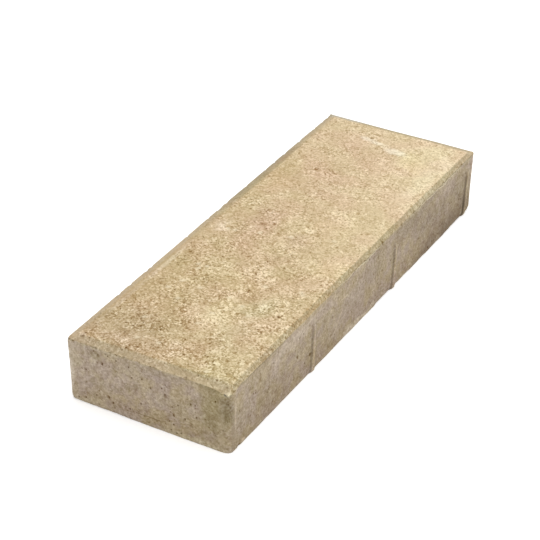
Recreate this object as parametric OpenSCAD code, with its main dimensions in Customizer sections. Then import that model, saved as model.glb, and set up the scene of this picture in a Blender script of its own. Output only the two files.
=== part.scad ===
// Concrete paver: a long rectangular paving unit, pressed in one piece.
// It lies on its bed face with the walking face up. Both long sides carry
// upright spacer ribs that set the joint to the next paver.
// Millimetres. Origin: middle of the bed face. X is the width, Y the length.

/* [Body] */
// Length of the body along Y, end face to end face
length = 560; // [300:1:900]
// Width of the body along X, without the spacer ribs
width = 190; // [120:1:320]
// Height from the bed face to the walking face
height = 80; // [50:1:120]
// Radius of the four upright corners
corner_radius = 5; // [1:0.5:10]

/* [Top edge] */
// Width, seen from above, of the sloped margin round the walking face
margin_run = 8.8; // [6:0.1:16]
// Height of the sloped margin
margin_drop = 5; // [1:0.5:12]
// How far off centre the pressing shoe stood, towards +X
shoe_offset = 5; // [0:0.1:5]

/* [Spacer ribs] */
// How far a rib stands out from the side
rib_depth = 1.6; // [0.5:0.1:5]
// Width of a rib at its foot, where it meets the side
rib_foot_width = 14; // [12:0.5:20]
// Width of a rib at its top, where it meets the side
rib_top_width = 10; // [9:0.5:11]
// Width of one sloped flank of a rib
rib_flank = 4.4; // [1:0.1:4.4]
// Distance from the walking face down to the top of a rib
rib_top_gap = 19; // [14:1:26]
// Height of the slope in which a rib's top runs out
rib_lead = 5; // [1:0.5:12]
// Distance between the centres of two ribs on one side
rib_pitch = 187; // [80:0.5:250]
// Distance from the end face to the centre of the nearest rib
rib_end_distance = 18; // [16:0.5:40]
// Distance from the other end face that every rib keeps at least
rib_clear_end = 30; // [15:1:60]

/* [Hidden] */
$fn = 64;
// Room by which cutting and fusing shapes run past the faces they work on
over = 12;
// Height of a rib above the bed face
rib_height = height - rib_top_gap;
// Lean of each flank, which makes the rib narrower towards its top
rib_lean = atan((rib_foot_width - rib_top_width) / 2 / rib_height);
// As many ribs as fit at their pitch, counted from the end that has the near one
rib_count = 1 + floor((length - rib_end_distance - rib_clear_end) / rib_pitch);

// Plan of the mould: a rectangle with rounded corners
module mould_plan() {
    difference() {
        square([width, length], center = true);
        for (sx = [-1, 1], sy = [-1, 1])
            translate([sx * (width / 2 - corner_radius), sy * (length / 2 - corner_radius)])
                difference() {
                    translate([sx, sy] * over) square(2 * over, center = true);
                    circle(corner_radius);
                }
    }
}

// Section under the pressing shoe: a flat top with a slope at each side.
// half is half the size of the body, run_low and run_high are the two slopes.
function shoe_section(half, run_low, run_high) = [
    [-half - over, -over],
    [half + over, -over],
    [half + over, height - margin_drop * (1 + over / run_high)],
    [half - run_high, height],
    [-half + run_low, height],
    [-half - over, height - margin_drop * (1 + over / run_low)]
];

// Body with the sloped margin that the shoe presses round the walking face
module body() {
    intersection() {
        linear_extrude(height) mould_plan();
        rotate([90, 0, 0])
            linear_extrude(length + 2 * over, center = true)
                polygon(shoe_section(width / 2, margin_run + shoe_offset, margin_run - shoe_offset));
        rotate([90, 0, 90])
            linear_extrude(width + 2 * over, center = true)
                polygon(shoe_section(length / 2, margin_run, margin_run));
    }
}

// One flank of a rib, as a leaning prism that is open on its other side.
// The rib's side of the body is X = 0, and turn is -1 or +1 along Y.
module flank_prism(turn) {
    translate([0, turn * rib_foot_width / 2, 0])
        rotate([turn * rib_lean, 0, 0])
            translate([0, 0, -over])
                linear_extrude(height + 2 * over)
                    polygon([
                        [-over, -turn * (rib_foot_width + over)],
                        [over, -turn * (rib_foot_width + over)],
                        [over, -turn * rib_flank * over / rib_depth],
                        [0, 0],
                        [-over, 0]
                    ]);
}

// Spacer rib on the side X = 0, from the bed face up, with its top run out
module spacer_rib() {
    intersection() {
        flank_prism(-1);
        flank_prism(1);
        rotate([90, 0, 0])
            linear_extrude(rib_foot_width + 2 * over, center = true)
                polygon([
                    [-over, 0],
                    [rib_depth, 0],
                    [rib_depth, rib_height - rib_lead],
                    [0, rib_height],
                    [-over, rib_height]
                ]);
    }
}

// Ribs of the +X side, which start near the +Y end
module rib_row() {
    for (i = [0 : rib_count - 1])
        translate([width / 2, length / 2 - rib_end_distance - i * rib_pitch, 0])
            spacer_rib();
}

// The whole paver. The -X side carries the same row of ribs, turned half round.
module paver() {
    color([0.83, 0.74, 0.58])
        union() {
            body();
            for (turn = [0, 180])
                rotate([0, 0, turn]) rib_row();
        }
}

paver();
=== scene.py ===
import math
import random

import bmesh
import bpy
import numpy as np
from mathutils import Matrix, Vector, noise
from mathutils.bvhtree import BVHTree
from mathutils.kdtree import KDTree


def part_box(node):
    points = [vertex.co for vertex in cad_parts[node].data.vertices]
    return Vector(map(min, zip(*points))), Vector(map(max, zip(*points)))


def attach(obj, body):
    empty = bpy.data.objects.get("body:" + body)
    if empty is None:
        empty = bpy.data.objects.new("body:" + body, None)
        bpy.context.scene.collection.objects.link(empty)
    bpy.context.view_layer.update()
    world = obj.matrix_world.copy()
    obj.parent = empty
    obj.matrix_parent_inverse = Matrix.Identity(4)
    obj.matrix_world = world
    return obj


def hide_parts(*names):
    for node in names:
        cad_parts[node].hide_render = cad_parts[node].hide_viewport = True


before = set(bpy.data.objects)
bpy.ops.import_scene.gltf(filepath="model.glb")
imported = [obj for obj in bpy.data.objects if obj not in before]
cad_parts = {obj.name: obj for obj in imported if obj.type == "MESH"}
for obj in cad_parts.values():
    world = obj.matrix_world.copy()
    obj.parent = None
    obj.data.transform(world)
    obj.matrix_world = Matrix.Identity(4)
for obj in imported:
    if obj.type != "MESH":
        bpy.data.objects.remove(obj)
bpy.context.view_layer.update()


# ----------------------------------------
# 1. The paver: one block of coloured concrete, pressed in a steel mould.
# The walking face and its sloped margins are struck by the shoe. The sides are
# pushed out of the mould, which leaves a grey film, pinholes and spacer ribs.
# ----------------------------------------

# The skin of the block is worked out in millimetres, and scaled when it is done.
MM = 0.001
half_y, high_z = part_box("paver")[1].y / MM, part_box("paver")[1].z / MM

# A merged copy of the CAD shape, on which the skin is laid.
cad_copy = bmesh.new()
cad_copy.from_mesh(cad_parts["paver"].data)
bmesh.ops.remove_doubles(cad_copy, verts=cad_copy.verts, dist=1e-6)
cad_points = np.array([v.co[:] for v in cad_copy.verts]) / MM
cad_surface = BVHTree.FromBMesh(cad_copy)

# How near to a face a point counts as lying on it, and how far inside it the skin stays.
CLOSE = 0.01

# The flat of the walking face, the outline at the foot of its margins, and the corners.
on_walk = cad_points[:, 2] > high_z - CLOSE
walk_low = cad_points[on_walk][:, :2].min(0)
walk_high = cad_points[on_walk][:, :2].max(0)
foot_z = cad_points[abs(cad_points[:, 1]) > half_y - CLOSE][:, 2].max()
half_x = cad_points[abs(cad_points[:, 2] - foot_z) < CLOSE][:, 0].max()
on_bed = cad_points[:, 2] < CLOSE
on_end = on_bed & (cad_points[:, 1] > half_y - CLOSE)
corner_radius = half_x - cad_points[on_end][:, 0].max()

# The ribs: (side, place along the block) of each, and how high they reach. A point
# that stands out this far from a side is on a rib.
PROUD = 0.5
proud = abs(cad_points[:, 0]) > half_x + PROUD
rib_lead_z = cad_points[proud][:, 2].max()
on_side = abs(abs(cad_points[:, 0]) - half_x) < CLOSE
rib_top_z = cad_points[on_side & (cad_points[:, 2] < foot_z - PROUD)][:, 2].max()
ribs = []
for side in (-1, 1):
    ends = np.sort(cad_points[proud & on_bed & (cad_points[:, 0] * side > 0)][:, 1])
    ribs += [(side, (low + high) / 2) for low, high in zip(ends[::2], ends[1::2])]

# Spacing of the skin's points: over the block, up its walls, and across each rib.
STEP = 1.66
WALL_STEP = 2.35
RIB_STEP = 0.9
RIB_REACH = 8.5
# Extra rows of points, by their distance from an edge, a crease or the bed.
EDGE_ROWS = (0.0, 0.5, 1.2)
CREASE_ROWS = (-0.6, 0.0, 0.6)
BED_ROWS = (0.0, 0.7, 1.5, 2.6)
# Height of the scored line on the near end.
SCORE_Z = 11.5


def rows(place, distances, turn=1):
    """Rows of points at a few distances from a place, turned inwards by a turn of -1."""
    return [place + turn * distance for distance in distances]


def grid_lines(marks, step, close=(), close_step=1.0, reach=0.0):
    """Places from the lowest mark to the highest, with one on every mark.

    They are `step` apart, or `close_step` within `reach` of the places in `close`.
    """
    edges = set(marks)
    for place in close:
        edges.update((place - reach, place + reach))
    edges = sorted(e for e in edges if min(marks) <= e <= max(marks))
    lines = [edges[0]]
    for start, end in zip(edges, edges[1:]):
        middle = (start + end) / 2
        near = any(abs(middle - place) < reach for place in close)
        parts = max(1, round((end - start) / (close_step if near else step)))
        lines += [start + (end - start) * (i + 1) / parts for i in range(parts)]
    return lines


x_lines = grid_lines(
    rows(-half_x, EDGE_ROWS) + rows(half_x, EDGE_ROWS, -1) + rows(walk_high[0], CREASE_ROWS)
    + [-half_x + corner_radius, walk_low[0]], STEP)
y_lines = grid_lines(
    rows(-half_y, EDGE_ROWS) + rows(half_y, EDGE_ROWS, -1) + rows(walk_low[1], CREASE_ROWS)
    + [-half_y + corner_radius, walk_high[1], half_y - corner_radius],
    STEP, [y for _, y in ribs], RIB_STEP, RIB_REACH)
z_lines = grid_lines(
    rows(0.0, BED_ROWS) + rows(foot_z, BED_ROWS, -1) + rows(SCORE_Z, CREASE_ROWS)
    + [rib_lead_z, rib_top_z], WALL_STEP)

# The block starts as an open box of one unit, and is cut into a fine skin.
WALK, WALL, BED = 0, 1, 2
block = bmesh.new()
bmesh.ops.create_cube(block, size=1.0)
for face in block.faces:
    face.material_index = WALK if face.normal.z > 0.5 else WALL
bmesh.ops.delete(block, geom=[f for f in block.faces if f.normal.z < -0.5], context="FACES_ONLY")
for axis, lines in enumerate((x_lines, y_lines, z_lines)):
    along = [e for e in block.edges if abs(e.verts[0].co[axis] - e.verts[1].co[axis]) > 0.5]
    bmesh.ops.subdivide_edges(block, edges=along, cuts=len(lines) - 2, use_grid_fill=True)

# Its even rows of points move to their lines.
points = np.array([v.co[:] for v in block.verts])
for axis, lines in enumerate((x_lines, y_lines, z_lines)):
    rank = np.rint((points[:, axis] + 0.5) * (len(lines) - 1)).astype(int)
    points[:, axis] = np.array(lines)[rank]
top = points[:, 2] > foot_z - CLOSE
wall = (abs(points[:, 0]) > half_x - CLOSE) | (abs(points[:, 1]) > half_y - CLOSE)
foot = top & wall

# Square corners in plan become round ones. `out` points away from the block, in plan.
into = np.stack([abs(points[:, 0]) - half_x, abs(points[:, 1]) - half_y], 1) + corner_radius
corner = (into > 0).all(1)
into_both = np.maximum(np.linalg.norm(into, axis=1), 1e-9)
out = np.zeros_like(points)
square_pull = np.zeros_like(points)
for axis, half in ((0, half_x), (1, half_y)):
    sign = np.sign(points[:, axis])
    rounded = sign * (half - corner_radius + into[:, axis] * into.max(1) / into_both)
    square_pull[:, axis] = np.where(corner, points[:, axis] - rounded, 0.0)
    flat_out = np.where(into[:, axis] > into[:, 1 - axis], sign, 0.0)
    out[:, axis] = np.where(corner, sign * into[:, axis] / into_both, flat_out)
    points[:, axis] = np.where(corner, rounded, points[:, axis])

# The skin is laid on the CAD shape, the top from above and the walls from outside.
RAY_START = 20.0
RAY_INSET = 0.05
for i in range(len(points)):
    if wall[i]:
        away = Vector(out[i])
        start = Vector(points[i]) + away * RAY_START
        start.z = min(max(start.z, RAY_INSET), foot_z - RAY_INSET)
        points[i, :2] = (cad_surface.ray_cast(start * MM, -away)[0] / MM)[:2]
    else:
        start = Vector((points[i, 0], points[i, 1], high_z + RAY_START))
        points[i, 2] = cad_surface.ray_cast(start * MM, Vector((0, 0, -1)))[0].z / MM

laid = points.copy()
x, y, z = laid.T
tree = KDTree(len(laid))
for i, place in enumerate(laid):
    tree.insert(place, i)
tree.balance()


def lumps(size, seed):
    """Smooth heights, about -1 to 1, in lumps `size` millimetres across, or (x, y, z) sizes."""
    scaled = laid / np.array(size, float) + seed * np.array([13.7, 7.3, 3.1])
    return np.array([noise.fractal(Vector(p), 1.0, 2.0, 1) for p in scaled])


def layered(*layers):
    """The sum of a few layers of lumps, each (height, size, seed)."""
    return sum(height * lumps(size, seed) for height, size, seed in layers)


def soft_step(values, start, end):
    """0 before start, 1 after end, and smooth between them."""
    t = np.clip((values - start) / (end - start), 0, 1)
    return t * t * (3 - 2 * t)


def soft_bump(values, start, end, edge):
    """1 from start to end, falling to 0 over `edge` outside them."""
    return soft_step(values, start - edge, start) * (1 - soft_step(values, end, end + edge))


def spread_marks(marks):
    """Round marks on the skin, each (place, radius, depth), as the deepest at every point."""
    depths = np.zeros(len(laid))
    for place, radius, depth in marks:
        for _, index, distance in tree.find_range(Vector(place), radius):
            depths[index] = max(depths[index], depth * (1 - (distance / radius) ** 2))
    return depths


def crease_pull(place, half, crease, reach):
    """1 on a crease, falling to 0 at the wall outside it and over `reach` inside it."""
    return np.clip((half - place) / (half - crease), 0, 1) * soft_step(place, crease - reach, crease)


# Where each point is: the wall it faces, how far it lies past the walking face's
# creases, how far down the margin (0 to 1), and how far from the near right corner.
FACING = 0.7
on_right = out[:, 0] > FACING
on_left = out[:, 0] < -FACING
on_near = out[:, 1] < -FACING
on_far = out[:, 1] > FACING
beyond = np.maximum(np.maximum(x - walk_high[0], walk_low[0] - x),
                    np.maximum(y - walk_high[1], walk_low[1] - y))
margin = soft_step(beyond, 0.0, 0.6)
share = np.clip((high_z - z) / (high_z - foot_z), 0, 1)
from_corner = np.hypot(x - half_x, y + half_y)

# The shoe didn't run quite true: the crease round the walking face wanders and tapers.
FAR_CREASE_IN = 2.6
LEFT_TAPER, NEAR_TAPER = 2.1, 1.3
wander = layered((0.5, 32, 20), (0.35, 9, 21))
left_shift = crease_pull(-x, half_x, -walk_low[0], 40) * (wander - 0.4 - LEFT_TAPER * y / half_y)
right_shift = crease_pull(x, half_x, walk_high[0], 20) * wander * 0.6
near_shift = crease_pull(-y, half_y, -walk_low[1], 40) * (wander + 0.4 + NEAR_TAPER * x / half_x)
far_shift = crease_pull(y, half_y, walk_high[1], 40) * (wander - FAR_CREASE_IN)
points[:, 0] += np.where(top, left_shift + right_shift, 0)
points[:, 1] += np.where(top, near_shift + far_shift, 0)

# The struck face: slow waves, and sand that is finer towards the far end.
rise = layered((0.22, 70, 1), (0.16, 24, 2))
grit = 1 - 0.35 * soft_step(y, -200, 60)
rise += layered((0.34, 7.5, 3), (0.36, 4.2, 4), (0.2, 2.6, 5)) * grit * (1 - 0.5 * margin)

# Open pits and stones that stand up a little: the clear ones, and more by chance.
WALK_PITS = (
    (-13, -60), (3, -210), (73, -145), (-33, -115), (76, 46), (-57, -185), (-22, 13), (10, 79),
    (68, -240), (33, -161))
WALK_STONES = (
    (-54, -155), (-34, -168), (7, -3), (-40, -100), (-31, -250), (-48, -137), (59, -267), (33, -104))
SHALLOW_PITS, SMALL_SHARE = 1500, 0.88
DEEP_PITS, CHANCE_STONES = 20, 16
draw = random.Random(11)
pits = []
for _ in range(SHALLOW_PITS):
    place = (draw.uniform(-half_x, half_x), draw.uniform(-half_y, half_y), high_z)
    size = draw.uniform(1.4, 2.5) if draw.random() < SMALL_SHARE else draw.uniform(2.6, 3.6)
    pits.append((place, size, draw.uniform(0.2, 0.6)))
for _ in range(DEEP_PITS):
    pits.append(((draw.uniform(-80, 86), draw.uniform(-260, 180), high_z), 2.7, 0.9))
pits = spread_marks(pits + [((x0, y0, high_z), 2.9, 1.0) for x0, y0 in WALK_PITS])
stones = [((x0, y0, high_z), 3.4, 1.0) for x0, y0 in WALK_STONES]
for _ in range(CHANCE_STONES):
    stones.append(((draw.uniform(-80, 86), draw.uniform(-270, 20), high_z), 3.2, 0.9))
stones = spread_marks(stones)
STONE_RISE = 0.3
rise -= pits * (1 - 0.6 * margin)
rise += STONE_RISE * stones

# The near right corner sags, and the creases near it are worn soft.
SAG, SAG_REACH = 1.6, 22
RIGHT_WEAR, CREASE_WEAR = 0.5, 0.3
worn_right = soft_bump(x, walk_high[0] - 1.5, walk_high[0] + 1.5, 5) * (1 - soft_step(y, -120, -60))
rise -= SAG * np.exp(-(from_corner / SAG_REACH) ** 2)
rise -= RIGHT_WEAR * worn_right + CREASE_WEAR * soft_bump(beyond, -0.3, 0.3, 1.5)

# The highest grain of the struck face stays just under the CAD shape's.
top_rise = rise - rise[top].max() - CLOSE
far_calm = 1 - 0.8 * soft_step(y, walk_high[1], half_y)

# The foot of the margins dips on the right and near walls and at their corner, and
# stands a little higher on the far and left ones.
CORNER_FALL, CORNER_FALL_REACH = 4.5, 12
FAR_LIFT, LEFT_LIFT = 1.0, 0.5
right_fall = np.clip(1.0 + 1.3 * lumps(26, 22), 0, 2.4) * (1 - 0.65 * soft_step(y, -60, 120))
near_fall = np.clip(0.5 + 0.8 * lumps(24, 23), 0, 1.6)
fall = CORNER_FALL * np.exp(-(from_corner / CORNER_FALL_REACH) ** 2)
fall += np.where(on_near, near_fall, on_right * right_fall)
fall = np.where(foot | ~wall, fall * (beyond > 0), fall)
fall -= np.where(on_far, FAR_LIFT * soft_step(x, -30, 60), 0.0)
fall -= np.where(on_left, LEFT_LIFT * soft_step(y, -80, 20) * (1 - soft_step(y, 200, 260)), 0.0)

# The foot is chipped, and a thin burr stands along it. Chips are (place, radius, depth).
NEAR_CHIPS = (
    (-94, 2.8, 1.3), (-86, 1.5, 0.7), (-77, 1.4, 0.7), (-65, 1.5, 0.8), (-61, 1.7, 0.9),
    (-44, 1.5, 0.8), (-27, 1.5, 0.8), (-10, 1.4, 0.7), (7, 1.4, 0.7))
RIGHT_CHIPS = (
    (-17, 2.4, 0.9), (3, 2.2, 0.8), (45, 3.4, 1.3), (90, 2.6, 1.0), (122, 3.2, 1.3),
    (148, 2.4, 0.9), (207, 2.6, 1.0), (247, 3.0, 1.2))
CHANCE_CHIPS = 26
chips = [((x0, -half_y, foot_z), radius, depth) for x0, radius, depth in NEAR_CHIPS]
chips += [((half_x, y0, foot_z), radius, depth) for y0, radius, depth in RIGHT_CHIPS]
for _ in range(CHANCE_CHIPS):
    place = (draw.choice((-1, 1)) * half_x, draw.uniform(-190, half_y), foot_z)
    chips.append((place, draw.uniform(2.0, 3.0), draw.uniform(0.4, 1.0)))
chips = spread_marks(chips)
burr = np.clip(0.1 + 0.45 * layered((1.0, 3.4, 10), (0.7, 9.0, 11)), 0.0, 0.6)
burr *= np.where(on_right, 1.0, np.where(on_far, 0.0, 0.4))


def chance_on_side(low, high):
    """A chance place on either long side, between two heights."""
    return draw.choice((-half_x, half_x)), draw.uniform(-half_y, half_y), draw.uniform(low, high)


def chance_on_end(low, high):
    """A chance place on either end, between two heights."""
    return draw.uniform(-half_x, half_x), draw.choice((-half_y, half_y)), draw.uniform(low, high)


# The walls: slight hollows, drag lines that run up the mould, sand, and small voids.
# Voids are (place along the wall, height, radius, depth).
SIDE_VOIDS = (
    (-145, 37, 2.6, 1.0), (-119, 24, 2.8, 1.1), (-221, 57, 4.6, 0.4), (46, 38, 2.6, 0.5),
    (-262, 1, 3.6, 0.8))
END_VOIDS = ((21, 44, 4.4, 0.35), (37, 37, 4.0, 0.3), (-48, 19, 2.4, 0.7), (-60, 5, 3.0, 0.4))
CHANCE_VOIDS, VOIDS_ON_ENDS = 300, 0.28
sink = layered((0.12, (40, 40, 30), 6), (0.06, (5, 5, 40), 7), (0.08, 5.0, 8), (0.07, 2.8, 9))
sink = np.maximum(0.12 + sink, CLOSE)
voids = []
for _ in range(CHANCE_VOIDS):
    place = chance_on_side(2, foot_z)
    if draw.random() < VOIDS_ON_ENDS:
        place = chance_on_end(2, foot_z)
    voids.append((place, draw.uniform(1.8, 3.0), draw.uniform(0.15, 0.45)))
voids += [((half_x, y0, z0), radius, depth) for y0, z0, radius, depth in SIDE_VOIDS]
voids += [((x0, -half_y, z0), radius, depth) for x0, z0, radius, depth in END_VOIDS]
voids = spread_marks(voids)
sink += voids

# The scored line near the bottom of the near end.
SCORE_DEPTH = 0.35
scored = on_near * (abs(z - SCORE_Z) < 0.1) * soft_bump(x, -17, 13, 3) * (lumps(6, 25) > -0.45)
sink += SCORE_DEPTH * scored

# The bottom edge is rubbed, and doesn't reach the floor everywhere.
# Rubbed stretches of the right side are (start, end, height).
RUBBED = ((-144, -118, 0.2), (38, 66, 0.9), (88, 110, 0.3), (190, 220, 0.2), (228, 278, 0.8))
MOST_LIFT = 1.5
lift = 0.3 + layered((0.5, 26, 12), (0.35, 7, 13))
for start, end, height in RUBBED:
    lift += np.where(on_right, height * soft_bump(y, start, end, 8), 0.0)
lift = np.where(on_near, lift * (1 - 0.6 * soft_step(x, -60, 30)), lift)
lift = np.clip(np.where(on_right & (y < 30), lift * 0.5, lift), 0.0, MOST_LIFT)
near_bed = 1 - soft_step(z, 0.0, 5.0)
sink += near_bed * (np.where(on_near, 0.75 - 0.5 * soft_step(x, -60, 30), 0.75) + 0.3 * lift)
sink += np.where(on_near, near_bed * (1 - soft_step(x, -90, 10)), 0.0)
sink += 0.25 * (1 - soft_step(foot_z - z, 0.0, 1.5))

# The near right corner has lost its edge on the end face, and keeps more of it on the side.
WORN_END = 11.0
worn_side = 6.0 + 3.5 * z / foot_z
past = np.stack([(x - half_x + WORN_END) / WORN_END, (-y - half_y + worn_side) / worn_side], 1)
over = np.where(wall & (past > 0).all(1), np.linalg.norm(np.maximum(past, 0), axis=1) - 1.0, 0.0)

# The other corners are crisp at the top and rounder at the bottom.
crisp = 0.95 - (1 - z / foot_z) * np.where(x < 0, 1.3, 0.95)
points += square_pull * (crisp * (from_corner > 40))[:, None]

# The ribs lean a little along the block, those in its far half the most.
RIB_LEAN = 0.06
for side, place in ribs:
    beside = (side * x > half_x - CLOSE) * (1 - soft_step(abs(y - place), 8, 16))
    lean = RIB_LEAN * (1.0 if place > 0 else 0.6)
    points[:, 1] += side * lean * z * (1 - soft_step(z, 50, foot_z)) * beside

# All this moves the skin's points.
for i in range(len(points)):
    if top[i]:
        points[i, 2] += top_rise[i] * far_calm[i] - fall[i] * share[i] - chips[i]
    if foot[i]:
        points[i, 2] = foot_z - 0.2 - fall[i] + burr[i] - chips[i]
    if wall[i]:
        if over[i] > 0:
            outwards = np.array([past[i, 0] * WORN_END, -past[i, 1] * worn_side[i]])
            points[i, :2] -= outwards * over[i] / (1 + over[i])
        points[i] -= out[i] * (sink[i] + chips[i])
        if not top[i]:
            points[i, 2] += lift[i] * near_bed[i] - fall[i] * (z[i] / foot_z) ** 3

# What the finish needs to know of each point: hollows, which get painted shade, pale stones
# and rib crowns, and a painted highlight along the worn arris.
stands_out = np.where(wall, abs(x) - half_x, 0.0)
crown = soft_step(stands_out, 1.3, 1.5)
# Painted shade goes into the pits, voids, scored line and chips.
hollow_shade = np.where(top, pits, 0.0) + np.where(wall, voids + 0.8 * scored, 0.0) + chips
pale_and_highlit = np.where(top, stones, 0.0) + np.where(wall, 0.4 * crown * soft_step(z, 25, 50), 0.0)
# A painted highlight on the side along the worn near right arris.
arris_highlight = wall * soft_bump(past.min(1), -0.1, 0.25, 0.2) * soft_bump(z, 12, 60, 8)
pale_and_highlit += 0.9 * arris_highlight * np.clip(0.6 + 1.2 * lumps(7, 24), 0, 1)

# The flanks of the ribs, which look dark, most of all low on the far rib.
flank = soft_bump(stands_out, 0.15, 1.15, 0.25)
flank *= 0.52 + np.where(y > 200, 0.2 + 0.25 * (1 - soft_step(z, 12, 30)), 0.0)
flank *= 1 - 0.5 * soft_step(z, 42, 58)

# How strongly the shoe has dulled each margin, where its sand is calm, and its grey film.
left_side = (x < walk_low[0] - 0.5) & (y > walk_low[1] - 0.5) & (y < walk_high[1] + 0.5)
near_side = (y < walk_low[1] - 0.5) & (x < walk_high[0] + 1)
right_side = x > walk_high[0] - 0.7
struck_left = 0.5 * soft_step(y, -60, 20) + 0.35 * soft_bump(y, 45, 175, 20)
struck_right = (0.8 - 0.3 * (1 - soft_step(y, -200, -140))) * (1.15 - 0.4 * share)
struck_near = 0.35 - 0.33 * soft_step(share, 0.15, 0.6)
struck_near += 0.3 * soft_step(x, -30, 0) * (1 - soft_step(share, 0.1, 0.35))
struck = np.where(left_side, struck_left, np.where(right_side, struck_right, 0.8))
struck = np.where(near_side, struck_near * (1 - soft_step(x, 60, 80)), struck)
dulled = struck * np.where(right_side, soft_step(beyond, -0.6, 0.0), margin)
calmed = np.where(near_side, -0.05, np.where(x > walk_high[0], 0.1, 0.4))
film = margin * np.where(near_side, 0.75 * soft_step(share, 0.0, 0.4), soft_step(share, 0.35, 0.75))
film *= x < walk_high[0]
marks = {
    "hollow_shade": hollow_shade, "pale_and_highlit": pale_and_highlit, "calmed": margin * calmed, "dulled": dulled,
    "film": film, "flank": flank}
layers = {name: block.verts.layers.float.new(name) for name in marks}
for i, vert in enumerate(block.verts):
    vert.co = points[i]
    for name, layer in layers.items():
        vert[layer] = marks[name][i]

# Pinholes, each sunk in one face of the skin. The clear ones also spread painted shade round
# them. Every other hole is a small one.
END_HOLES = ((-58, 66), (-53, 57), (-47, 19), (-42, 13), (20, 45), (30, 25), (50, 45), (56, 32))
SIDE_HOLES = ((-145, 37), (-119, 24), (-70, 44), (46, 38), (-262, 43), (136, 32))
CHANCE_ON_SIDES, CHANCE_ON_ENDS, CHANCE_ON_TOP = 110, 50, 260
HOLE_LOW, HOLE_HIGH = 4, 70
HOLE_RINGS = ((0.42, -0.8), (0.25, -0.6))
holes = [(x0, -half_y, z0) for x0, z0 in END_HOLES] + [(half_x, y0, z0) for y0, z0 in SIDE_HOLES]
clear_holes = len(holes)
for _ in range(CHANCE_ON_SIDES):
    holes.append(chance_on_side(HOLE_LOW, HOLE_HIGH))
for _ in range(CHANCE_ON_ENDS):
    holes.append(chance_on_end(HOLE_LOW, HOLE_HIGH))
for _ in range(CHANCE_ON_TOP):
    holes.append((draw.uniform(-85, 88), draw.uniform(-half_y, half_y), high_z))
block.faces.ensure_lookup_table()
face_tree = KDTree(len(block.faces))
for face in block.faces:
    face_tree.insert(face.calc_center_median(), face.index)
face_tree.balance()
chosen = {}
for number, place in enumerate(holes):
    face = block.faces[face_tree.find(Vector(place))[1]]
    if not any(other in chosen for vert in face.verts for other in vert.link_faces):
        chosen[face] = True
        halo = 0.42 if number < clear_holes else 0.1
        for vert in face.verts:
            vert[layers["hollow_shade"]] = max(vert[layers["hollow_shade"]], halo)
for turn, (width, depth) in enumerate(HOLE_RINGS):
    sunk = [face for number, face in enumerate(chosen) if number % 2 == turn]
    bmesh.ops.inset_individual(block, faces=sunk, thickness=width, depth=depth, use_even_offset=True)
# The sunk faces get the full painted shade.
for face in chosen:
    for vert in face.verts:
        vert[layers["hollow_shade"]] = 1.0

# The bed face: rings round its edge, then one flat face cut into a coarse grid.
BED_RINGS = (0.6, 1.2, 2.0, 3.0)
BED_LINES = slice(8, -8, 5)
rim = [e for e in block.edges if e.is_boundary]
for inset in BED_RINGS:
    grown = bmesh.ops.extrude_edge_only(block, edges=rim)["geom"]
    rim = [e for e in grown if isinstance(e, bmesh.types.BMEdge) and e.is_boundary]
    for vert in {v for e in rim for v in e.verts}:
        past_x = abs(vert.co.x) - half_x + corner_radius
        past_y = abs(vert.co.y) - half_y + corner_radius
        side_x, side_y = math.copysign(1, vert.co.x), math.copysign(1, vert.co.y)
        if past_x > 0 and past_y > 0:
            away = Vector((side_x * past_x, side_y * past_y, 0)).normalized()
        else:
            away = Vector((side_x, 0, 0)) if past_x > past_y else Vector((0, side_y, 0))
        vert.co -= away * inset
        vert.co.z = 0.0
bed_faces = bmesh.ops.contextual_create(block, geom=rim)["faces"]
for axis, lines in enumerate((x_lines, y_lines)):
    normal = Vector((1 - axis, axis, 0))
    for place in lines[BED_LINES]:
        geom = dict.fromkeys(g for f in bed_faces for g in (*f.verts, *f.edges, f))
        cut = bmesh.ops.bisect_plane(
            block, geom=list(geom), dist=1e-4, plane_co=normal * place, plane_no=normal)
        bed_faces = [g for g in cut["geom"] if isinstance(g, bmesh.types.BMFace)]
for face in block.faces:
    if all(v.co.z < CLOSE for v in face.verts):
        face.material_index = BED
    face.smooth = True

# Extruding leaves its faces in an order that varies between runs, so all are sorted by place.
in_order = sorted(block.faces, key=lambda face: face.calc_center_median()[:])
ranks = {face: rank for rank, face in enumerate(in_order)}
block.faces.sort(key=ranks.get)

bmesh.ops.recalc_face_normals(block, faces=block.faces)
bmesh.ops.scale(block, vec=(MM, MM, MM), verts=block.verts)
mesh = bpy.data.meshes.new("paver_cast")
block.to_mesh(mesh)
scene = bpy.context.scene


def added(name, data):
    """A new object in the scene."""
    made = bpy.data.objects.new(name, data)
    scene.collection.objects.link(made)
    return made


paver = added("paver_cast", mesh)


# The concrete's finish, in three materials that share their effects.
# A tone of 1 is this step on a screen, from 0 to 1, tinted a little towards blue.
TONE_STEP = 0.36
TONE_TINT = (0.93, 1.02, 1.11)
DARKEST, BRIGHTEST = 0.05, 0.99
GAMMA = 2.2


def linear(red, green, blue):
    """A colour written 0 to 255 as a screen shows it, as the shader wants it."""
    parts = [c / 255 for c in (red, green, blue)]
    return [c / 12.92 if c <= 0.04045 else ((c + 0.055) / 1.055) ** 2.4 for c in parts] + [1.0]


def put(nodes, kind, sockets=None, **settings):
    """Adds one node, gives it its settings, and joins or sets its inputs by name or number."""
    node = nodes.nodes.new(kind)
    for name, value in settings.items():
        setattr(node, name, value)
    for name, value in (sockets or {}).items():
        if isinstance(value, bpy.types.NodeSocket):
            nodes.links.new(value, node.inputs[name])
        else:
            node.inputs[name].default_value = value
    return node


def calc(nodes, operation, first, second=0.0, third=0.0, clamp=False):
    """A Math node's result."""
    sockets = {0: first, 1: second, 2: third}
    return put(nodes, "ShaderNodeMath", sockets, operation=operation, use_clamp=clamp).outputs[0]


def the_rest(nodes, value):
    """1 less the value."""
    return calc(nodes, "SUBTRACT", 1.0, value)


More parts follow.
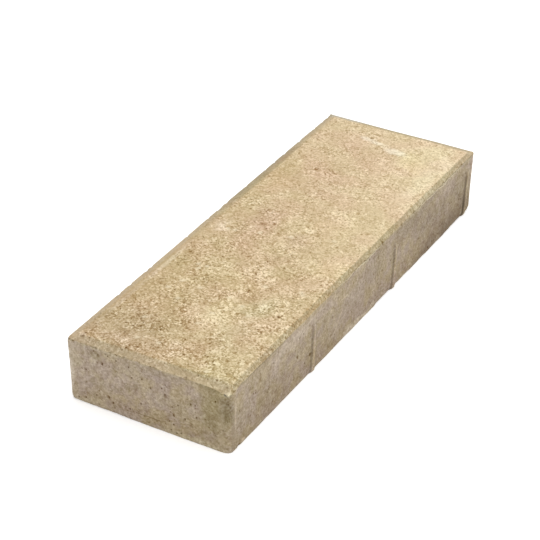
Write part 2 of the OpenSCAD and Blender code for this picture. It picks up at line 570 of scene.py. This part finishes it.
def vector(nodes, operation, first, second=None, scale=None):
    """A Vector Math node's result."""
    sockets = {0: first}
    if second is not None:
        sockets[1] = second
    if scale is not None:
        sockets["Scale"] = scale
    return put(nodes, "ShaderNodeVectorMath", sockets, operation=operation).outputs[0]


def blend_colours(nodes, share, first, second, kind="MIX"):
    """The first colour with a share of the second one over it."""
    sockets = {0: share, 6: first, 7: second}
    return put(nodes, "ShaderNodeMix", sockets, data_type="RGBA", blend_type=kind).outputs[2]


def ramp(nodes, value, start, end, low_value=0.0, high_value=1.0, kind="SMOOTHSTEP"):
    """Turns start..end into low..high and holds it outside them."""
    sockets = {0: value, 1: start, 2: end, 3: low_value, 4: high_value}
    return put(nodes, "ShaderNodeMapRange", sockets, interpolation_type=kind).outputs[0]


def cloud(nodes, place, size, detail=2.0, roughness=0.5):
    """Soft noise from 0 to 1 with lumps of a size in millimetres, and the same as a colour."""
    sockets = {"Vector": place, "Scale": 1.0 / size, "Detail": detail, "Roughness": roughness}
    made = put(nodes, "ShaderNodeTexNoise", sockets, noise_dimensions="3D")
    return made.outputs[0], made.outputs[1]


def toned(nodes, colour, tone):
    """Lightens or darkens a colour by a tone round 0, by an even step as a screen shows it."""
    shown = put(nodes, "ShaderNodeGamma", {"Color": colour, "Gamma": 1 / GAMMA}).outputs[0]
    red = put(nodes, "ShaderNodeSeparateColor", {0: shown}).outputs[0]
    room_left = calc(nodes, "SUBTRACT", BRIGHTEST, red)
    step = calc(nodes, "MINIMUM", calc(nodes, "MULTIPLY", tone, TONE_STEP), room_left)
    shift = vector(nodes, "MULTIPLY", step, TONE_TINT)
    shifted = vector(nodes, "MAXIMUM", vector(nodes, "ADD", shown, shift), (DARKEST,) * 3)
    return put(nodes, "ShaderNodeGamma", {"Color": shifted, "Gamma": GAMMA}).outputs[0]


def new_group(name, inputs, outputs):
    """A node group with its named sockets: floats, vectors or colours."""
    group = bpy.data.node_groups.new(name, "ShaderNodeTree")
    for in_out, sockets in (("INPUT", inputs), ("OUTPUT", outputs)):
        for label, kind in sockets:
            group.interface.new_socket(label, in_out=in_out, socket_type="NodeSocket" + kind)
    return group, group.nodes.new("NodeGroupInput").outputs, group.nodes.new("NodeGroupOutput").inputs


def use(nodes, group, sockets):
    """Places a node group and gives its outputs."""
    return put(nodes, "ShaderNodeGroup", sockets, node_tree=group).outputs


# A soft patch of another tone: an egg-shaped cloud round a centre.
patch_group, given, result = new_group(
    "soft_patch",
    [("Place", "Vector"), ("Centre", "Vector"), ("Size", "Vector"), ("Strength", "Float")],
    [("Mask", "Float")])
away = vector(patch_group, "SUBTRACT", given["Place"], given["Centre"])
away = vector(patch_group, "DIVIDE", away, given["Size"])
far = put(patch_group, "ShaderNodeVectorMath", {0: away}, operation="LENGTH").outputs[1]
mask = calc(patch_group, "MULTIPLY", ramp(patch_group, far, 0.3, 1.3, 1.0, 0.0), given["Strength"])
patch_group.links.new(mask, result["Mask"])

# Sand: single grains in two sizes, and softer clumps in four more, as a tone round 0.
GRAINS = (("Grain", 1.7), ("Speck", 2.6))
CLUMPS = (("Fine", 1.8), ("Middle", 4.0), ("Coarse", 9.0), ("Broad", 24.0))
sand_group, given, result = new_group(
    "sand", [("Place", "Vector")] + [(label, "Float") for label, _ in GRAINS + CLUMPS],
    [("Tone", "Float")])
total = 0.0
for label, size in GRAINS:
    cells = put(sand_group, "ShaderNodeTexVoronoi", {"Vector": given["Place"], "Scale": 1.0 / size})
    level = put(sand_group, "ShaderNodeSeparateColor", {0: cells.outputs["Color"]}).outputs[0]
    total = calc(sand_group, "MULTIPLY_ADD", calc(sand_group, "SUBTRACT", level, 0.5), given[label], total)
for label, size in CLUMPS:
    level = calc(sand_group, "SUBTRACT", cloud(sand_group, given["Place"], size, 1.0, 0.6)[0], 0.5)
    total = calc(sand_group, "MULTIPLY_ADD", level, given[label], total)
sand_group.links.new(total, result["Tone"])

# Spots: round marks scattered one to a cell, for stones, pits and pinholes.
# Share is how many of the cells hold one. Their sizes vary from 0.6 to 1.4 of the radius.
spot_group, given, result = new_group(
    "spots", [("Place", "Vector"), ("Cell", "Float"), ("Radius", "Float"), ("Share", "Float")],
    [("Mask", "Float")])
cell_scale = calc(spot_group, "DIVIDE", 1.0, given["Cell"])
scaled = vector(spot_group, "SCALE", given["Place"], scale=cell_scale)
cells = put(spot_group, "ShaderNodeTexVoronoi", {"Vector": scaled, "Scale": 1.0})
parted = put(spot_group, "ShaderNodeSeparateColor", {0: cells.outputs["Color"]}).outputs
picked = calc(spot_group, "LESS_THAN", parted[0], given["Share"])
vary = calc(spot_group, "MULTIPLY_ADD", parted[1], 0.8, 0.6)
size = calc(spot_group, "MULTIPLY", given["Radius"], vary)
inside = calc(spot_group, "DIVIDE", cells.outputs["Distance"], size)
mask = calc(spot_group, "MULTIPLY", ramp(spot_group, inside, 0.5, 1.2, 1.0, 0.0), picked)
spot_group.links.new(mask, result["Mask"])


def new_finish(name, roughness):
    """A material with its Principled shader, and the place on the piece in millimetres."""
    finish = bpy.data.materials.new(name)
    finish.use_nodes = True
    nodes = finish.node_tree
    shader = nodes.nodes["Principled BSDF"]
    shader.inputs["Specular IOR Level"].default_value = 0.35
    shader.inputs["Roughness"].default_value = roughness
    where = nodes.nodes.new("ShaderNodeTexCoord").outputs["Object"]
    return finish, nodes, shader, vector(nodes, "SCALE", where, scale=1 / MM)


def drifted(nodes, place, size, amount):
    """The place, pushed about by noise, so that patches get ragged outlines."""
    push = vector(nodes, "SUBTRACT", cloud(nodes, place, size, 2.0, 0.45)[1], (0.5, 0.5, 0.5))
    return vector(nodes, "ADD", place, vector(nodes, "SCALE", push, scale=amount))


def patch(nodes, place, centre, size, strength):
    """The mask of one soft patch."""
    sockets = {"Place": place, "Centre": centre, "Size": size, "Strength": strength}
    return use(nodes, patch_group, sockets)["Mask"]


def patched(nodes, place, colour, patches):
    """Lays soft patches of colour, each (x, y, z), (sizes), (colour), strength, one over another."""
    for centre, size, tint, strength in patches:
        colour = blend_colours(nodes, patch(nodes, place, centre, size, strength), colour, linear(*tint))
    return colour


def spots(nodes, place, cell, radius, share):
    """The mask of scattered spots, one to a cell, whose radius is a share of the cell."""
    sockets = {"Place": place, "Cell": cell, "Radius": radius, "Share": share}
    return use(nodes, spot_group, sockets)["Mask"]


def known(nodes, name):
    """A mask that the mesh carries on its points."""
    return put(nodes, "ShaderNodeAttribute", attribute_name=name, attribute_type="GEOMETRY").outputs["Fac"]


def known_share(nodes, name, amount):
    """A part of a mask that the mesh carries."""
    return calc(nodes, "MULTIPLY", known(nodes, name), amount)


def finished(nodes, shader, colour, height, distance, strength):
    """Joins the colour and a bump, whose height is a tone, to the shader."""
    nodes.links.new(colour, shader.inputs["Base Color"])
    bump = put(nodes, "ShaderNodeBump", {"Height": height, "Distance": distance, "Strength": strength})
    nodes.links.new(bump.outputs[0], shader.inputs["Normal"])


# The walking face and its margins: golden buff, made paler towards the far right end by painted light.
# A patch is (centre, size, colour, strength). DEEP reaches down through the margins.
TOP = high_z
DEEP = 60
WALK_PATCHES = (
    ((-45, -245, TOP), (50, 45, DEEP), (190, 166, 134), 0.6),
    ((-50, -120, TOP), (24, 80, DEEP), (203, 182, 138), 0.5),
    ((22, -186, TOP), (26, 26, DEEP), (228, 208, 168), 0.7),
    ((48, -185, TOP), (18, 20, DEEP), (218, 201, 163), 0.6),
    ((18, -150, TOP), (20, 18, DEEP), (224, 204, 162), 0.6),
    ((45, -148, TOP), (16, 22, DEEP), (202, 186, 148), 0.5),
    ((52, -215, TOP), (14, 26, DEEP), (200, 182, 142), 0.5),
    ((0, -110, TOP), (34, 24, DEEP), (212, 189, 146), 0.5),
    ((45, -85, TOP), (20, 34, DEEP), (204, 180, 140), 0.6),
    ((76, -40, TOP), (22, 26, DEEP), (226, 205, 162), 0.6),
    ((-35, -45, TOP), (16, 26, DEEP), (202, 174, 138), 0.6),
    ((18, -50, TOP), (16, 20, DEEP), (202, 178, 142), 0.5),
    ((-36, 15, TOP), (20, 40, DEEP), (203, 174, 143), 0.7),
    ((18, -8, TOP), (16, 20, DEEP), (201, 177, 144), 0.6),
    ((-70, -15, TOP), (14, 18, DEEP), (222, 202, 170), 0.6),
    ((48, 40, TOP), (24, 34, DEEP), (228, 206, 166), 0.5),
    ((18, 30, TOP), (14, 20, DEEP), (222, 198, 158), 0.5),
    ((-66, 112, TOP), (20, 50, DEEP), (206, 182, 138), 0.7),
    ((-32, 138, TOP), (18, 22, DEEP), (205, 178, 142), 0.7),
    ((-8, 112, TOP), (18, 30, DEEP), (208, 184, 149), 0.5),
    ((-28, 210, TOP), (20, 18, DEEP), (212, 184, 150), 0.6),
    ((48, 212, TOP), (22, 16, DEEP), (236, 218, 174), 0.6),
    ((75, 200, TOP), (16, 70, DEEP), (236, 220, 184), 0.6),
    ((70, -240, TOP), (26, 40, DEEP), (212, 198, 152), 0.6),
    ((-36, -146, TOP), (18, 18, DEEP), (192, 166, 124), 0.5),
    ((84, -146, TOP), (14, 18, DEEP), (192, 170, 126), 0.5),
    ((-36, -8, TOP), (14, 18, DEEP), (198, 170, 136), 0.4),
    ((60, 245, TOP), (26, 20, DEEP), (240, 222, 184), 0.5),
    ((-28, 165, TOP), (64, 120, DEEP), (212, 183, 150), 0.35),
    ((-36, -8, TOP), (26, 22, DEEP), (196, 168, 132), 0.3),
)
# Clearer marks: a curved smear, a pale line along the left crease, and stained margins.
WALK_MARKS = (
    ((-24, 239, TOP), (11, 5, DEEP), (250, 236, 210), 0.85),
    ((-9, 235, TOP), (11, 4, DEEP), (250, 236, 210), 0.85),
    ((19, 226, TOP), (16, 8, DEEP), (250, 238, 212), 0.85),
    ((-81, -112, TOP), (3.5, 46, DEEP), (234, 215, 184), 0.7),
    ((-81, -200, TOP), (3.5, 60, DEEP), (216, 196, 168), 0.4),
    ((90, -110, TOP), (2.2, 52, DEEP), (202, 176, 134), 0.6),
    ((94, -112, TOP), (3.5, 52, DEEP), (224, 192, 148), 0.7),
    ((-89, 148, TOP), (5, 34, DEEP), (206, 164, 134), 0.5),
    ((-70, 276, TOP), (28, 6, DEEP), (242, 232, 222), 0.7),
    ((-68, -275, TOP), (20, 8, DEEP), (224, 202, 166), 0.4),
    ((-20, -277, TOP), (30, 6, DEEP), (184, 164, 122), 0.35),
    ((48, -271, TOP), (13, 4, DEEP), (230, 212, 174), 0.4),
    ((78, -271, TOP), (15, 5, DEEP), (180, 160, 122), 0.6),
    ((91, -279, TOP), (6, 5, DEEP), (242, 225, 190), 0.9),
    ((95, -264, TOP - 4), (2.5, 13, 5), (240, 222, 190), 0.5),
    ((90, -252, TOP), (2.5, 16, DEEP), (196, 176, 136), 0.35),
    ((94, 155, TOP - 3), (3, 36, DEEP), (240, 226, 196), 0.3),
    ((-82, -271, TOP), (5, 4, DEEP), (230, 212, 186), 0.5),
    ((-66, -246, TOP), (14, 18, DEEP), (222, 200, 168), 0.35),
    ((-66, -216, TOP), (14, 14, DEEP), (222, 200, 168), 0.25),
    ((-87, 274, TOP), (6, 5, DEEP), (242, 232, 222), 0.6),
    ((-64, -26, TOP), (8, 5, DEEP), (250, 230, 200), 0.6),
    ((-70, -19, TOP), (5, 4, DEEP), (252, 234, 204), 0.5),
    ((3, 232, TOP), (7, 5, DEEP), (244, 226, 194), 0.5),
)
WALK_SAND = {
    "Grain": 0.74, "Speck": 0.22, "Fine": 0.62, "Middle": 0.08, "Coarse": 0.44, "Broad": 0.50}
# Parts where the sand shows less.
CALM_PARTS = (((72, 20, TOP), (34, 120, DEEP)), ((-78, -120, TOP), (20, 120, DEEP)))
SHADED_NEAR_LEFT, LIT_FAR_RIGHT = linear(194, 169, 128), linear(227, 205, 168)
STONE_CREAM, FILM_GREY = linear(250, 238, 208), linear(196, 179, 152)
ROSY, SALLOW = (1.017, 0.991, 1.012, 1.0), (0.983, 1.0, 0.965, 1.0)
DULLED = (0.70, 0.72, 0.68, 1.0)

finish, nodes, shader, place = new_finish("struck_concrete", 0.88)
parts = put(nodes, "ShaderNodeSeparateXYZ", {0: place}).outputs
# Painted light: the colour runs from the shaded near left to the lit far right end.
painted_light_slope = calc(nodes, "MULTIPLY_ADD", parts[0], 1.3, parts[1])
painted_light_slope = ramp(nodes, painted_light_slope, -340, 350, kind="LINEAR")
colour = blend_colours(nodes, painted_light_slope, SHADED_NEAR_LEFT, LIT_FAR_RIGHT)
colour = patched(nodes, drifted(nodes, place, 30.0, 46.0), colour, WALK_PATCHES)
colour = patched(nodes, drifted(nodes, place, 7.0, 7.0), colour, WALK_MARKS)
hue = ramp(nodes, cloud(nodes, place, 42.0, 1.0, 0.4)[0], 0.32, 0.68)
colour = blend_colours(nodes, 1.0, colour, blend_colours(nodes, hue, SALLOW, ROSY), "MULTIPLY")

# Sand, pale stones, and dark spots and hollows painted with the shade of pits, as one tone. It is
# calmer towards the far end, in clouds, on the margins, and in the calm parts.
sand = use(nodes, sand_group, {"Place": place, **WALK_SAND})["Tone"]
calm = calc(nodes, "MULTIPLY", ramp(nodes, parts[1], -220, 160, 0.93, 0.63),
            the_rest(nodes, known(nodes, "calmed")))
clouds = ramp(nodes, cloud(nodes, place, 26.0)[0], 0.35, 0.65, 0.7, 1.3)
calm = calc(nodes, "MULTIPLY", calm, clouds)
for centre, size in CALM_PARTS:
    calm = calc(nodes, "MULTIPLY", calm, the_rest(nodes, patch(nodes, place, centre, size, 0.28)))
pale = spots(nodes, drifted(nodes, place, 3.0, 2.0), 4.2, 0.40, 0.34)
# Dark spots painted as the shade of small pits.
pit_shade = spots(nodes, drifted(nodes, place, 2.0, 1.5), 3.1, 0.34, 0.30)
tone = calc(nodes, "MULTIPLY_ADD", pale, 0.36, sand)
tone = calc(nodes, "MULTIPLY_ADD", pit_shade, -0.56, tone)
tone = calc(nodes, "MULTIPLY", tone, calm)
# Painted shade in the pits and chips that the mesh marks.
tone = calc(nodes, "ADD", tone, ramp(nodes, known(nodes, "hollow_shade"), 0.15, 0.9, 0.0, -0.55))
colour = toned(nodes, colour, tone)
colour = blend_colours(nodes, known_share(nodes, "pale_and_highlit", 0.6), colour, STONE_CREAM)
colour = blend_colours(nodes, known_share(nodes, "film", 0.6), colour, FILM_GREY)
colour = blend_colours(nodes, known(nodes, "dulled"), colour, DULLED, "MULTIPLY")
height = calc(nodes, "MULTIPLY_ADD", pit_shade, -0.6, sand)
height = calc(nodes, "MULTIPLY_ADD", pale, 0.3, height)
finished(nodes, shader, colour, height, 0.0008, 0.8)
mesh.materials.append(finish)

# The walls: mauve grey from the mould, with ochre and olive clouds where the face mix ran
# down. A patch is (centre, size, colour, strength). THICK keeps it within one wall.
RIGHT, NEAR = half_x, -half_y
THICK = 16
WALL_PATCHES = (
    ((78, NEAR, 46), (20, THICK, 36), (172, 155, 112), 0.8),
    ((-64, NEAR, 66), (12, THICK, 10), (190, 172, 150), 0.5),
    ((14, NEAR, 64), (14, THICK, 10), (190, 170, 158), 0.5),
    ((84, NEAR, 8), (14, THICK, 10), (205, 188, 150), 0.5),
    # Painted highlight down the rounded near left corner.
    ((-88, NEAR, 50), (9, THICK, 30), (222, 204, 178), 0.8),
    ((-88, NEAR, 14), (10, THICK, 16), (216, 199, 170), 0.6),
    ((-70, NEAR, 3), (30, THICK, 6), (224, 207, 174), 0.8),
    ((54, NEAR, 3), (40, THICK, 6), (226, 210, 176), 0.9),
    ((-65, NEAR, 24), (14, THICK, 18), (214, 196, 182), 0.4),
    ((-45, NEAR, 32), (14, THICK, 10), (206, 188, 180), 0.4),
    ((66, NEAR, 32), (9, THICK, 10), (164, 146, 106), 0.5),
    ((RIGHT, -88, 54), (THICK, 14, 16), (186, 166, 140), 0.4),
    ((-20, NEAR, 62), (22, THICK, 12), (208, 191, 166), 0.4),
    ((15, NEAR, 40), (22, THICK, 10), (195, 178, 156), 0.4),
    ((54, NEAR, 32), (10, THICK, 10), (205, 188, 152), 0.4),
    ((38, NEAR, 33), (12, THICK, 12), (192, 175, 146), 0.4),
    ((RIGHT, -200, 26), (THICK, 26, 22), (190, 170, 136), 0.5),
    ((RIGHT, -262, 30), (THICK, 22, 26), (196, 178, 146), 0.4),
    ((RIGHT, -145, 64), (THICK, 66, 10), (226, 208, 186), 0.7),
    ((RIGHT, -10, 4), (THICK, 46, 6), (246, 230, 204), 0.9),
    ((RIGHT, -75, 28), (THICK, 22, 24), (206, 188, 156), 0.4),
    ((RIGHT, 160, 5), (THICK, 48, 7), (148, 131, 106), 0.6),
    ((RIGHT, 34, 58), (THICK, 40, 18), (180, 162, 138), 0.5),
    ((RIGHT, -20, 44), (THICK, 28, 20), (208, 190, 168), 0.4),
    ((RIGHT, -236, 64), (THICK, 20, 12), (192, 174, 146), 0.5),
    ((RIGHT, 116, 64), (THICK, 50, 14), (170, 152, 128), 0.75),
    ((RIGHT, 165, 44), (THICK, 50, 20), (172, 154, 132), 0.65),
    ((RIGHT, 245, 48), (THICK, 24, 20), (178, 160, 136), 0.5),
    ((RIGHT, 205, 66), (THICK, 20, 10), (208, 190, 170), 0.4),
    ((RIGHT, 166, 69), (THICK, 36, 8), (168, 150, 126), 0.4),
    ((RIGHT, 205, 12), (THICK, 80, 20), (168, 148, 124), 0.8),
    ((RIGHT, 262, 14), (THICK, 14, 24), (150, 132, 100), 0.4),
)
# Clearer marks: painted shade on the worn corner, a painted highlight along the arris beside
# it and down the near left corner, a pale notch in the bottom edge, short scratches, and tints
# under the margins.
WALL_MARKS = (
    # Painted shade on the worn near right corner of the end.
    ((90, NEAR + 1, 51), (9, 9, 20), (138, 122, 86), 0.65),
    # Painted highlight along the arris of the worn corner.
    ((RIGHT, -269.5, 36), (THICK, 2.2, 26), (222, 204, 178), 0.8),
    # Painted highlight down the near left corner.
    ((-94, NEAR, 36), (7, THICK, 34), (238, 222, 200), 0.7),
    # Painted highlight along the arris of the worn corner.
    ((RIGHT, -270.4, 44), (THICK, 1.5, 17), (240, 222, 194), 0.7),
    ((86, NEAR, 71), (8, THICK, 5), (206, 190, 146), 0.7),
    ((RIGHT, -255, 4), (THICK, 4, 4), (250, 228, 194), 0.9),
    ((RIGHT, -75, 52.5), (THICK, 11, 1.2), (226, 208, 178), 0.7),
    ((RIGHT, -43, 53), (THICK, 9, 1.3), (226, 208, 178), 0.7),
    ((88, NEAR, 30), (6, THICK, 10), (196, 178, 144), 0.5),
    ((-52, NEAR, 73), (38, THICK, 3), (226, 209, 180), 0.6),
    ((15, NEAR, 70), (38, THICK, 6), (188, 170, 138), 0.45),
    ((RIGHT, -110, 71), (THICK, 52, 4), (208, 187, 150), 0.5),
    ((RIGHT, -220, 70), (THICK, 46, 5), (202, 182, 148), 0.45),
    ((RIGHT, 110, 72), (THICK, 52, 4), (190, 172, 136), 0.5),
)
# Slanted scratches are (place along the side at the bed, height, half length, strength).
SCRATCHES = ((-79, 32, 20, 0.85), (11, 48, 9, 0.7), (-92, 26, 10, 0.5))
SCRATCH_SLANT, SCRATCH_WIDTH = 0.78, 1.2
# Lines under the right margin are (place along the side, half length, strength).
SHADE_LINES = ((-215, 60, 0.45), (190, 90, 0.75), (0, 70, 0.7))
TORN_LINES = ((-5, 62, 0.9), (190, 90, 0.9))
WALL_SAND = {
    "Grain": 0.36, "Speck": 0.08, "Fine": 0.38, "Middle": 0.50, "Coarse": 0.48, "Broad": 0.1}
MAUVE, OCHRE, OLIVE = linear(204, 184, 164), linear(202, 182, 148), linear(178, 160, 124)
SPILT_BUFF, LIP_MIX_AND_SHADOW_OLIVE = linear(202, 184, 148), linear(160, 143, 102)
SHADE_BROWN, TORN_CREAM = linear(126, 108, 80), linear(246, 232, 198)
SCRATCH_PALE, CROWN_PALE_AND_HIGHLIGHT = linear(232, 214, 182), linear(226, 208, 180)
FLANK_BROWN = linear(96, 82, 62)

finish, nodes, shader, place = new_finish("mould_side_concrete", 0.8)
parts = put(nodes, "ShaderNodeSeparateXYZ", {0: place}).outputs
clouds = ramp(nodes, cloud(nodes, place, 18.0, 3.0, 0.55)[0], 0.38, 0.62)
colour = blend_colours(nodes, clouds, MAUVE, OCHRE)
colour = patched(nodes, drifted(nodes, place, 16.0, 24.0), colour, WALL_PATCHES)
colour = patched(nodes, drifted(nodes, place, 6.0, 2.5), colour, WALL_MARKS)
elsewhere = vector(nodes, "ADD", place, (90, 40, 70))
olive = ramp(nodes, cloud(nodes, elsewhere, 13.0)[0], 0.54, 0.74)
colour = blend_colours(nodes, calc(nodes, "MULTIPLY", olive, 0.5), colour, OLIVE)

# Sand, drag lines, painted shade low on the walls, a paler band just above the bed, and
# pinholes and hollows with painted shade, as one tone. The spots are more and larger along
# the foot of the near margin.
sand = use(nodes, sand_group, {"Place": place, **WALL_SAND})["Tone"]
drag = cloud(nodes, vector(nodes, "MULTIPLY", place, (1, 1, 0.16)), 3.6, 3.0, 0.6)[0]
tone = calc(nodes, "MULTIPLY_ADD", calc(nodes, "SUBTRACT", drag, 0.5), 0.34, sand)
# Painted shade from 40 mm down to 10 mm above the bed.
tone = calc(nodes, "ADD", tone, ramp(nodes, parts[2], 10, 40, -0.12, 0.0))
tone = calc(nodes, "ADD", tone, ramp(nodes, parts[2], 2, 9, 0.06, 0.0))
at_foot = calc(nodes, "MULTIPLY", ramp(nodes, parts[2], foot_z - 2.6, foot_z - 1.2),
               ramp(nodes, parts[1], NEAR + 0.6, NEAR + 1.6, 1.0, 0.0))
# Dark spots painted as the shade of pinholes.
pit_shade = spots(nodes, drifted(nodes, place, 2.5, 1.5), 5.0,
             calc(nodes, "MULTIPLY_ADD", at_foot, 0.12, 0.18),
             calc(nodes, "MULTIPLY_ADD", at_foot, 0.6, 0.35))
tone = calc(nodes, "MULTIPLY_ADD", pit_shade, calc(nodes, "MULTIPLY_ADD", at_foot, -0.5, -0.45), tone)
# Painted shade in the voids, pinholes, chips and scored line that the mesh marks.
tone = calc(nodes, "ADD", tone, ramp(nodes, known(nodes, "hollow_shade"), 0.12, 0.8, 0.0, -0.72))
colour = toned(nodes, colour, tone)

# The face mix that spilt over the foot of the margins, with a ragged lower edge, and a
# dark olive band under the lip near the worn corner, partly face mix and partly painted shadow.
below = calc(nodes, "SUBTRACT", foot_z, parts[2])
uneven = cloud(nodes, place, 9.0, 4.0, 0.6)[0]
ragged = calc(nodes, "MULTIPLY_ADD", uneven, -9.0, calc(nodes, "ADD", below, 2.3))
spilt = calc(nodes, "MULTIPLY", ramp(nodes, ragged, -0.6, 0.8, 1.0, 0.0), 0.8)
colour = blend_colours(nodes, spilt, colour, toned(nodes, SPILT_BUFF, tone))
# A dark olive band under the lip: partly face mix, partly painted shadow of the lip.
lip_mix_and_shadow = patch(nodes, place, (72, NEAR, foot_z - 1), (15, THICK, 5), 0.82)
colour = blend_colours(nodes, lip_mix_and_shadow, colour, toned(nodes, LIP_MIX_AND_SHADOW_OLIVE, tone))


def edged(nodes, place, colour, band, lines, tint):
    """Draws a band of the ragged edge along a few stretches under the right margin."""
    for along, length, strength in lines:
        stretch = patch(nodes, place, (RIGHT, along, foot_z), (8, length, 9), strength)
        colour = blend_colours(nodes, calc(nodes, "MULTIPLY", band, stretch), colour, tint)
    return colour


shade = calc(nodes, "MULTIPLY", ramp(nodes, ragged, -1.8, -1.0), ramp(nodes, ragged, -0.2, 0.8, 1.0, 0.0))
torn = calc(nodes, "MULTIPLY", ramp(nodes, ragged, -1.2, -0.2), ramp(nodes, ragged, 0.4, 1.2, 1.0, 0.0))
colour = edged(nodes, place, colour, shade, SHADE_LINES, SHADE_BROWN)
colour = edged(nodes, place, colour, torn, TORN_LINES, TORN_CREAM)

# Slanted scratches are straight in a place that is sheared along the side.
sheared_y = calc(nodes, "MULTIPLY_ADD", parts[2], -SCRATCH_SLANT, parts[1])
slanted = put(nodes, "ShaderNodeCombineXYZ", {0: parts[0], 1: sheared_y, 2: parts[2]}).outputs[0]
for along, height, length, strength in SCRATCHES:
    scratch = patch(nodes, slanted, (RIGHT, along, height), (THICK, SCRATCH_WIDTH, length), strength)
    colour = blend_colours(nodes, scratch, colour, SCRATCH_PALE)
# Pale rib crowns, and the painted highlight along the worn arris.
colour = blend_colours(nodes, known_share(nodes, "pale_and_highlit", 0.35), colour, CROWN_PALE_AND_HIGHLIGHT)
colour = blend_colours(nodes, known(nodes, "flank"), colour, FLANK_BROWN)
height = calc(nodes, "MULTIPLY_ADD", pit_shade, -0.8, calc(nodes, "MULTIPLY_ADD", drag, 0.6, sand))
finished(nodes, shader, colour, height, 0.0007, 0.7)
mesh.materials.append(finish)

# The bed: open, sandy concrete that lay on a board.
BED_SAND = {
    "Grain": 0.60, "Speck": 0.20, "Fine": 0.50, "Middle": 0.30, "Coarse": 0.30, "Broad": 0.2}
BED_PALE, BED_DARK = linear(198, 180, 152), linear(180, 162, 134)
finish, nodes, shader, place = new_finish("bed_concrete", 0.9)
clouds = ramp(nodes, cloud(nodes, place, 45.0, 4.0, 0.6)[0], 0.38, 0.62)
colour = blend_colours(nodes, clouds, BED_PALE, BED_DARK)
sand = use(nodes, sand_group, {"Place": place, **BED_SAND})["Tone"]
# Dark spots painted as the shade of open pores.
pit_shade = spots(nodes, drifted(nodes, place, 3.0, 2.0), 5.0, 0.26, 0.5)
colour = toned(nodes, colour, calc(nodes, "MULTIPLY_ADD", pit_shade, -0.5, sand))
height = calc(nodes, "MULTIPLY_ADD", pit_shade, -1.2, sand)
finished(nodes, shader, colour, height, 0.0009, 0.9)
mesh.materials.append(finish)

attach(paver, "root")
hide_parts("paver")


# ----------------------------------------
# 2. The studio: a pale floor that keeps a soft shadow, white for the camera,
# one big soft lamp overhead, and an even white room. Metres, but for the lens.
# ----------------------------------------

FLOOR_HALF = 4.0
# The floor lies just under the bed face, so that the two don't flicker.
FLOOR_GAP = 0.0002
# How much of a white of 1 the floor gives off where the camera sees it.
FLOOR_GLOW = 0.5
ROOM_LIGHT = 0.5
floor_shape = bmesh.new()
bmesh.ops.create_grid(floor_shape, x_segments=1, y_segments=1, size=FLOOR_HALF)
floor_mesh = bpy.data.meshes.new("floor")
floor_shape.to_mesh(floor_mesh)
floor = added("floor", floor_mesh)
floor.location.z = -FLOOR_GAP


def seen_as_white(nodes):
    """1 where the camera sees it straight, in a gloss or through glass, and 0 for other light."""
    seen = put(nodes, "ShaderNodeLightPath").outputs
    direct = calc(nodes, "ADD", seen["Is Camera Ray"], seen["Is Glossy Ray"])
    return calc(nodes, "ADD", direct, seen["Is Transmission Ray"], clamp=True)


paint = bpy.data.materials.new("floor_paint")
paint.use_nodes = True
nodes = paint.node_tree
nodes.nodes.clear()
glow_strength = calc(nodes, "MULTIPLY", seen_as_white(nodes), FLOOR_GLOW)
matt = put(nodes, "ShaderNodeBsdfDiffuse", {"Color": (0.8, 0.8, 0.8, 1.0)})
glow = put(nodes, "ShaderNodeEmission", {"Strength": glow_strength})
both = put(nodes, "ShaderNodeAddShader", {0: matt.outputs[0], 1: glow.outputs[0]})
put(nodes, "ShaderNodeOutputMaterial", {"Surface": both.outputs[0]})
floor_mesh.materials.append(paint)

room = bpy.data.worlds.new("room")
room.use_nodes = True
scene.world = room
nodes = room.node_tree
nodes.nodes.clear()
strength = ramp(nodes, seen_as_white(nodes), 0.0, 1.0, ROOM_LIGHT, 1.0)
sky = put(nodes, "ShaderNodeBackground", {"Color": (1, 1, 1, 1), "Strength": strength})
put(nodes, "ShaderNodeOutputWorld", {"Surface": sky.outputs[0]})

LAMP_WIDTH, LAMP_LENGTH, LAMP_WATTS = 1.6, 2.2, 24.0
lamp_data = bpy.data.lights.new("overhead_softbox", "AREA")
lamp_data.shape = "RECTANGLE"
lamp_data.size = LAMP_WIDTH
lamp_data.size_y = LAMP_LENGTH
lamp_data.energy = LAMP_WATTS
lamp = added("overhead_softbox", lamp_data)
lamp.location = (0.2, 0.08, 1.8)
lamp_aim = Vector((0, 0, 0.08))
lamp.rotation_euler = (lamp_aim - lamp.location).to_track_quat("-Z", "Y").to_euler()

# The camera: a long lens, looking down along the block from its near right end.
# The angles are in radians.
AZIMUTH, ELEVATION, ROLL = 0.51092, 0.56116, 0.012691
AIM = Vector((-0.0099566, -0.018074, 0.040))
DISTANCE = 2.1268
SENSOR_MM, LENS_MM = 36.0, 129.86
FARTHEST = 20.0
level = math.cos(ELEVATION)
back = Vector((math.sin(AZIMUTH) * level, -math.cos(AZIMUTH) * level, math.sin(ELEVATION)))
right = Vector((0, 0, 1)).cross(back).normalized()
turned = Matrix((right, back.cross(right), back)).transposed() @ Matrix.Rotation(ROLL, 3, "Z")
camera_data = bpy.data.cameras.new("camera")
camera_data.sensor_width = SENSOR_MM
camera_data.lens = LENS_MM
camera_data.clip_end = FARTHEST
camera = added("camera", camera_data)
camera.matrix_world = Matrix.Translation(AIM + back * DISTANCE) @ turned.to_4x4()
scene.camera = camera
scene.view_settings.view_transform = "Standard"
